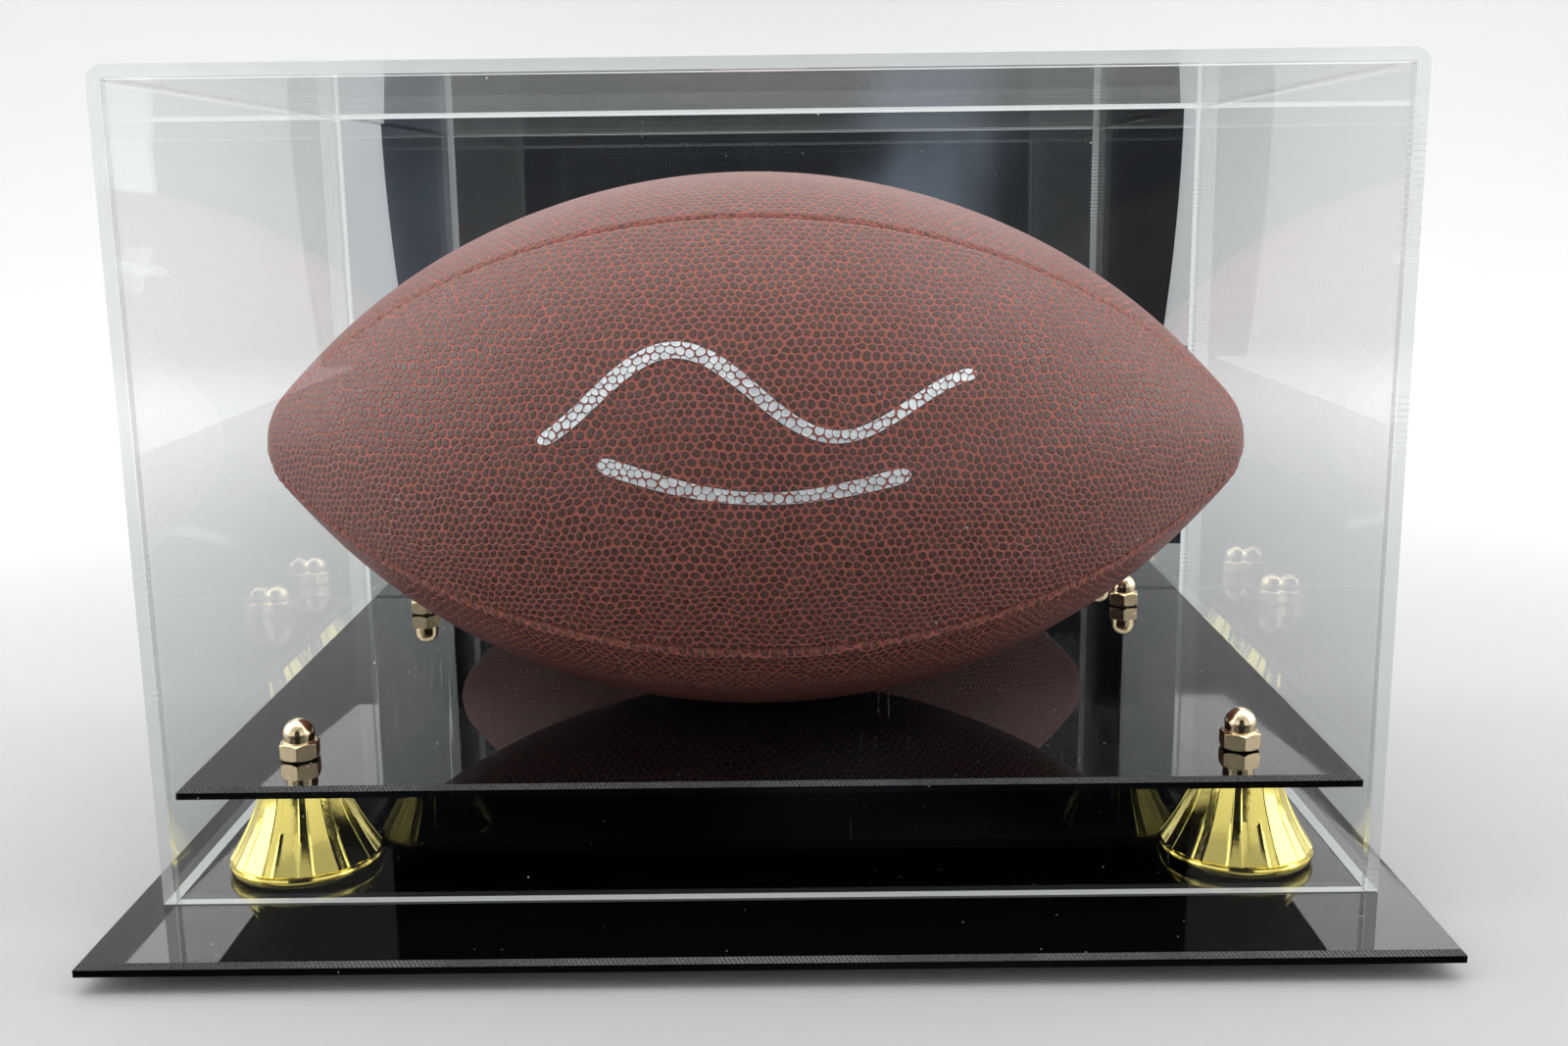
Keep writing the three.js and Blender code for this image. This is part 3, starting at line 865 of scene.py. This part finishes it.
def make_panel(side, number, leather):
    """One leather panel as a closed shell, its edges rolled into the seams and puckered by the
    stitches."""
    start, end = (math.radians(SEAM_DEGREES[seam]) for seam in PANELS[side])
    if end < start:
        end += 2 * math.pi
    centre = (start + end) / 2
    # Each panel is cut from its own part of the hide.
    shift = number * PANEL["hide_step"]
    outer, inner, grain_outer, grain_inner = [], [], [], []
    columns = meridian(PANEL["columns"])
    for x, length in columns:
        radius = ball_radius(x)
        half_gap = PANEL["half_gap"] / radius
        low, high = start + half_gap, end - half_gap
        arc = (high - low) * radius
        tip = min(1.0, arc / PANEL["tip_fade"])
        wave = math.cos(2 * math.pi * length / STITCH["pitch"])
        rows = panel_rows(arc)
        for across in rows:
            from_seam = min(across, arc - across)
            deep, reach, pucker, ridge = ROLL[PANELS[side][0 if across < arc / 2 else 1]]
            rolled = 0.8 * deep * math.exp(-((from_seam / reach) ** 1.6))
            raised = ridge * math.exp(-(((from_seam - 2.3 * reach) / (1.1 * reach)) ** 2))
            drop = tip * (1 + pucker * wave) * (rolled - raised)
            angle = low + across / radius
            outer.append(around_ball(x, radius - drop, angle))
            # The distance from the seam, up to the reach of the painted seam highlight.
            wear_and_highlight = min(from_seam, PANEL["highlight_reach"])
            grain_outer.append((length + shift, (angle - centre) * radius, wear_and_highlight))
        depth = min(BALL["skin"], radius * 0.6)
        steps = PANEL["inner_steps"]
        for i in range(steps + 1):
            angle = low + (high - low) * i / steps
            inner.append(around_ball(x, radius - depth, angle))
            grain_inner.append((length + shift, (angle - centre) * radius, PANEL["highlight_reach"]))
    node = f"football_panel_{side}"
    faces = panel_faces(len(columns), len(rows), steps + 1)
    made = piece(
        f"{node}_leather", outer + inner, faces, leather, "football", [node], 60
    )
    set_grain(made, grain_outer + grain_inner)


# Each thread's half length, the random part of that and the range of its slant, both in mm, how
# thick it is, how deep it lies in the middle, how much deeper at its ends, and the length of
# leather without any at each tip.
STITCH = {
    "pitch": 3.4 * MM,
    "half": 0.75 * MM,
    "half_spread": 0.1,
    "slant": (0.25, 0.45),
    "thick": 0.23 * MM,
    "depth": 0.62 * MM,
    "arch": 0.3 * MM,
    "end_slimness": 0.7,
    "margin": 15 * MM,
}


def make_stitches(thread):
    """A short thread across the groove at each stitch of the four seams."""
    columns = meridian(2400)
    total = columns[-1][1]
    ring_points, steps = 6, 5
    points, faces = [], []
    side = Vector((1, 0, 0))
    spread = STITCH["half_spread"]
    rnd = random.Random(4)
    for degrees in SEAM_DEGREES.values():
        seam = math.radians(degrees)
        count = int((total - 2 * STITCH["margin"]) / STITCH["pitch"])
        for k in range(count):
            at = STITCH["margin"] + (k + 0.5) * STITCH["pitch"]
            x = next(place for place, length in columns if length >= at)
            radius = ball_radius(x)
            half = STITCH["half"] + rnd.uniform(-spread, spread) * MM
            slant = rnd.uniform(*STITCH["slant"]) * MM
            rings = []
            for i in range(steps):
                t = 2 * i / (steps - 1) - 1
                out = outward(seam + t * half / radius)
                sunk = STITCH["depth"] + STITCH["arch"] * t * t
                slim = STITCH["thick"] * (1.0 if abs(t) < 0.9 else STITCH["end_slimness"])
                centre = Vector((x + t * slant, 0, 0))
                ring = []
                for a in even_angles(ring_points):
                    height = radius - sunk + slim * math.sin(a)
                    ring.append(to_ball @ (centre + out * height + side * (slim * math.cos(a))))
                rings.append(ring)
            faces += skin(rings, len(points))
            points += flat_list(rings)
    piece("football_stitching", points, faces, thread, "football", [], 60)


def ribbon(place_at, steps, width, thickness):
    """Rings of a flat lace with round edges, with each point's place along and across it. place_at
    gives a step's centre, and its across and up directions."""
    rings, grain = [], []
    along = 0.0
    before = None
    section_points = 20
    for i in range(steps + 1):
        centre, across, up = place_at(i / steps)
        if before is not None:
            along += (centre - before).length
        before = centre
        ring = []
        for a in even_angles(section_points):
            c, s = math.cos(a), math.sin(a)
            u = math.copysign(abs(c) ** 0.45, c) * width / 2
            v = math.copysign(abs(s) ** 0.7, s) * thickness / 2
            ring.append(centre + across * u + up * v)
            grain.append((along, u, 0.0))
        rings.append(ring)
    return rings, grain


# The long lace ends at a share of the half length, and both kinds turn down into the leather from
# a share of their own half length. "sink" is how far they go in.
LACE = {
    "half_length": 55 * MM,
    "width": 5 * MM,
    "thickness": 1.7 * MM,
    "turns_down_from": 0.86,
    "long_share": 1.06,
    "long_width_share": 0.95,
    "long_thickness_share": 0.7,
    "long_lift": 0.55 * MM,
    "long_sink": 1.6 * MM,
    "bars": 8,
    "bar_half_span": 11.5 * MM,
    "bar_lean": 0.5 * MM,
    "bar_hump": 0.9 * MM,
    "bar_lift": 0.6 * MM,
    "bar_sink": 1.9 * MM,
}


def make_lacing(white):
    """Eight cross laces over one long lace that lies on the seam, each end turned down through its
    hole."""
    seam = math.radians(SEAM_DEGREES["top_rear"])
    points, faces, grain = [], [], []

    def keep(rings, flat_points):
        faces.extend(skin(rings, len(points)))
        points.extend(flat_list(rings))
        grain.extend(flat_points)

    def turned_down(share):
        """How far a lace has gone into the leather near its ends, 0 to 1."""
        start = LACE["turns_down_from"]
        return max(0.0, (abs(2 * share - 1) - start) / (1 - start)) ** 2

    def long_lace(share):
        x = LACE["half_length"] * LACE["long_share"] * (2 * share - 1)
        radius = ball_radius(x) + LACE["long_lift"] - LACE["long_sink"] * turned_down(share)
        centre = around_ball(x, radius, seam)
        across = around_ball(x, radius, seam + 0.01) - centre
        up = around_ball(x, radius + MM, seam) - centre
        return centre, across.normalized(), up.normalized()

    def cross_lace(bar):
        x = LACE["half_length"] * (2 * (bar + 0.5) / LACE["bars"] - 1)
        lean = LACE["bar_lean"] * (-1) ** bar

        def place_at(share):
            off = 2 * share - 1
            angle = seam + off * LACE["bar_half_span"] / ball_radius(x)
            hump = LACE["bar_hump"] * math.cos(off * math.pi / 2) ** 2
            sunk = LACE["bar_sink"] * turned_down(share)
            radius = ball_radius(x) + LACE["bar_lift"] + hump - sunk
            centre = around_ball(x + lean * off, radius, angle)
            ahead = around_ball(x + MM, ball_radius(x + MM), angle)
            across = ahead - around_ball(x, ball_radius(x), angle)
            up = around_ball(x, radius + MM, angle) - around_ball(x, radius, angle)
            return centre, across.normalized(), up.normalized()

        return place_at

    width, thickness = LACE["width"], LACE["thickness"]
    long_width = width * LACE["long_width_share"]
    long_thickness = thickness * LACE["long_thickness_share"]
    keep(*ribbon(long_lace, 60, long_width, long_thickness))
    for bar in range(LACE["bars"]):
        keep(*ribbon(cross_lace(bar), 22, width, thickness))
    node = "football_lacing"
    made = piece(f"{node}_woven", points, faces, white, "football", [node], 60)
    set_grain(made, grain)


FLOURISH = {"up_degrees": 13, "width": 4.4 * MM, "lift": 0.14 * MM, "thickness": 0.12 * MM}


def make_flourish(silver):
    """Two plain marker strokes on the front panel: a long wave, and a shorter curve under it."""
    start, end = (math.radians(SEAM_DEGREES[seam]) for seam in PANELS["front"])
    panel_centre = (start + end) / 2
    columns = meridian(2400)
    base_angle = math.radians(FLOURISH["up_degrees"])

    def long_wave(t):
        swing = math.sin(1.35 * 2 * math.pi * t - 1.1)
        return -53 * MM + 110 * MM * t, (13 * swing * (1 - 0.3 * t) + 5) * MM

    def under_curve(t):
        return 40 * MM - 78 * MM * t, (-15 - 7 * math.sin(math.pi * t) + 3 * t) * MM

    points, faces, grain = [], [], []
    across_points = 5
    for stroke, steps in ((long_wave, 150), (under_curve, 90)):
        line = [stroke(i / steps) for i in range(steps + 1)]
        rings = []
        for i, (x, h) in enumerate(line):
            ahead, behind = line[min(i + 1, steps)], line[max(i - 1, 0)]
            direction = Vector((ahead[0] - behind[0], ahead[1] - behind[1])).normalized()
            side = Vector((-direction.y, direction.x))
            ends = min(1.0, min(i, steps - i) / 4)
            rounding = math.sqrt(max(0.04, 1 - (1 - ends) ** 2))
            swell = 0.85 + 0.15 * math.sin(6 * i / steps + len(points))
            half = FLOURISH["width"] / 2 * swell * rounding
            ring = []
            for layer in (1, 0):
                order = range(across_points) if layer else reversed(range(across_points))
                lift = FLOURISH["lift"] + FLOURISH["thickness"] * layer
                for p in order:
                    offset = half * (2 * p / (across_points - 1) - 1)
                    px, ph = x + side.x * offset, h + side.y * offset
                    radius = ball_radius(px)
                    angle = base_angle + ph / BALL["radius"]
                    ring.append(around_ball(px, radius + lift, angle))
                    width = (angle - panel_centre) * radius
                    grain.append((length_at(columns, px), width, PANEL["highlight_reach"]))
            rings.append(ring)
        faces += skin(rings, len(points))
        points += flat_list(rings)
    name = "football_marker_flourish"
    made = piece(name, points, faces, silver, "football", [], 60)
    set_grain(made, grain)


VALVE_DEGREES = 190


def make_valve(rubber):
    """The valve's round rubber face with a raised lip and a needle hole, in the rear panel."""
    outline = [
        (0.35 * MM, -1.6 * MM),
        (0.35 * MM, -0.55 * MM),
        (0.7 * MM, -0.3 * MM),
        (1.5 * MM, -0.32 * MM),
        (1.8 * MM, -0.1 * MM),
        (2.2 * MM, 0.0),
        (2.55 * MM, -0.15 * MM),
        (2.6 * MM, -0.5 * MM),
        (2.6 * MM, -2.2 * MM),
        (0.35 * MM, -2.2 * MM),
    ]
    out = outward(math.radians(VALVE_DEGREES))
    side = Vector((1, 0, 0))
    up = out.cross(side)
    rings = []
    for r, depth in outline:
        centre = out * (BALL["radius"] + depth)
        rings.append(
            [
                to_ball @ (centre + side * (r * math.cos(a)) + up * (r * math.sin(a)))
                for a in even_angles(36)
            ]
        )
    node = "football_valve"
    faces = skin(rings, loop=True)
    points = flat_list(rings)
    piece(f"{node}_fine", points, faces, rubber, "football", [node], 40)


def build_football():
    leather = football_leather()
    rubber = black_rubber()
    for number, side in enumerate(PANELS):
        make_panel(side, number, leather)
    make_stitches(seam_thread())
    make_lacing(woven_lace())
    make_flourish(silver_marker())
    make_valve(rubber)
    set_materials("football_bladder", rubber)


# ---------------------------------------------------------------- studio

STUDIO = {"floor_radius": 1.6, "sweep": 0.7, "wall_top": 1.5}


def studio_object(name, points, faces, material, hidden_from=()):
    made = new_object(name, points, faces, material)
    for ray in hidden_from:
        setattr(made, "visible_" + ray, False)


def studio_white():
    """Pale matt paint, with a painted shade that darkens the floor near the case, and a painted
    light that makes it brightest far out in front.
    """
    m = Material("studio_white")
    place = m.place()
    across = m.vector("MULTIPLY", {0: place, 1: (1, 1, 0)})
    radius = m.vector("LENGTH", {0: across}, "Value")
    # Painted light: brighter far out in front, for more light on what the mirror and the ball's
    # sides see.
    front = m.span(m.axes(place)["Y"], -0.3, -1.3)
    far_colour = m.mix(front, grey(0.65), grey(0.84))
    # Painted shade: darker near the case, which cuts the light the floor throws up onto the ball.
    colour = m.mix(m.span(radius, 0.15, 1.25), grey(0.38), far_colour)
    return m.finish(m.shader("BsdfDiffuse", Color=colour))


def build_floor():
    """A pale floor that sweeps up into a wall all round, so that every view has the same plain
    background."""
    floor_radius, sweep = STUDIO["floor_radius"], STUDIO["sweep"]
    outline = [(radius, 0.0) for radius in (0.02, 0.4, 0.9, floor_radius)]
    sweep_steps = 16
    for i in range(1, sweep_steps + 1):
        turn = i / sweep_steps * math.pi / 2
        outline.append((floor_radius + sweep * math.sin(turn), sweep * (1 - math.cos(turn))))
    outline.append((floor_radius + sweep, STUDIO["wall_top"]))
    angles = even_angles(96)
    rings = [round_ring(r, z, angles) for r, z in outline]
    studio_object("studio_floor", flat_list(rings), skin(rings)[:-1], studio_white())


def dark_room(name, glow_level):
    """The dim room in front of the case, as its mirror sees it."""
    m = Material(name)
    shapes = m.noise(m.stretched(m.place(), 5, 5, 2.2), 1.0)
    glow = m.span(shapes, 0.45, 0.72)
    dim = glow_level * 0.14
    bright = (glow_level, glow_level * 1.18, glow_level * 1.47, 1)
    colour = m.mix(glow, (dim, dim * 1.1, dim * 1.25, 1), bright)
    return m.finish(m.shader("Emission", Color=colour, Strength=1.0))


# The opening of the light tent is "far" in front. "near" is where the dark table before it starts,
# just in front of the base, and "high" is the top of what is over it.
DARK = {
    "far": -1.5,
    "half_width": 0.53,
    "top": 0.345,
    "corner": 0.05,
    "below": -0.3,
    "narrowing": 0.07,
    "near": -0.127,
    "inner_half_width": 0.47,
    "lift": 0.002,
    "high": 1.15,
}


def build_dark_room():
    """Dark cards that only reflections see: the tent's opening, with round top corners and sides
    that draw in below, the table in front of it and the space over it."""
    far, top, corner, inner = (DARK[k] for k in ("far", "top", "corner", "inner_half_width"))
    near, lift, high, half_width = (DARK[k] for k in ("near", "lift", "high", "half_width"))
    right_side = []
    for i in range(9):
        turn = i / 8 * math.pi / 2
        x = half_width - corner + corner * math.sin(turn)
        right_side.append((x, top - corner + corner * math.cos(turn)))
    for i in range(1, 15):
        share = i / 14
        z = (top - corner) * (1 - share) + DARK["below"] * share
        right_side.append((half_width - DARK["narrowing"] * share**2, z))
    room = [(x, far, z) for x, z in right_side] + [(-x, far, z) for x, z in reversed(right_side)]
    table = [(-inner, far, lift), (inner, far, lift), (inner, near, lift), (-inner, near, lift)]
    above = [(-inner, far, top), (inner, far, top), (inner, far, high), (-inner, far, high)]
    hidden_from = ("camera", "diffuse", "transmission", "shadow")
    for name, points, glow_level in (
        ("dark_room", room, 0.12),
        ("dark_table", table, 0.06),
        ("dark_above", above, 0.02),
    ):
        material = dark_room(name, glow_level)
        face = tuple(range(len(points)))
        studio_object("studio_" + name, points, [face], material, hidden_from)


DAYLIGHT = (0.97, 0.985, 1)
# Each light's place, width, height, power in watts and colour. They all aim at the case's middle.
LIGHTS = {
    "top_light": ((0, 0.35, 1.4), 2.2, 2.0, 30, (1, 1, 1)),
    "left_light": ((-1.4, 0.0, 0.8), 1.7, 1.5, 21, DAYLIGHT),
    "right_light": ((1.4, 0.0, 0.8), 1.7, 1.5, 21, DAYLIGHT),
    "back_light": ((0, 2.0, 1.1), 3.0, 0.8, 13, (1, 1, 1)),
}
WORLD_STRENGTH = 0.56


def build_lights():
    target = (cad_box[0] + cad_box[1]) / 2
    for name, (place, width, height, power, colour) in LIGHTS.items():
        data = bpy.data.lights.new(name, "AREA")
        data.shape = "RECTANGLE"
        data.size = width
        data.size_y = height
        data.energy = power
        data.color = colour
        made = bpy.data.objects.new(name, data)
        bpy.context.scene.collection.objects.link(made)
        made.location = place
        made.rotation_euler = (target - Vector(place)).to_track_quat("-Z", "Y").to_euler()
        made.visible_camera = False
    world = bpy.data.worlds.new("studio")
    world.use_nodes = True
    background = world.node_tree.nodes["Background"]
    background.inputs["Color"].default_value = (*DAYLIGHT, 1)
    background.inputs["Strength"].default_value = WORLD_STRENGTH
    bpy.context.scene.world = world


def build_camera():
    data = bpy.data.cameras.new("camera")
    data.sensor_width = 36
    data.lens = CAMERA["lens_mm"]
    data.clip_start = 0.01
    made = bpy.data.objects.new("camera", data)
    bpy.context.scene.collection.objects.link(made)
    made.matrix_world = (
        Matrix.Translation(CAMERA["place"])
        @ Matrix.Rotation(CAMERA["yaw"], 4, "Z")
        @ Matrix.Rotation(math.pi / 2 - CAMERA["pitch_down"], 4, "X")
        @ Matrix.Rotation(CAMERA["roll"], 4, "Z")
    )
    bpy.context.scene.camera = made


build_camera()
build_stand()
build_cover()
build_football()
build_floor()
build_dark_room()
build_lights()
scene = bpy.context.scene
scene.view_settings.view_transform = "Standard"
scene.cycles.transparent_max_bounces = 32
scene.cycles.glossy_bounces = 8
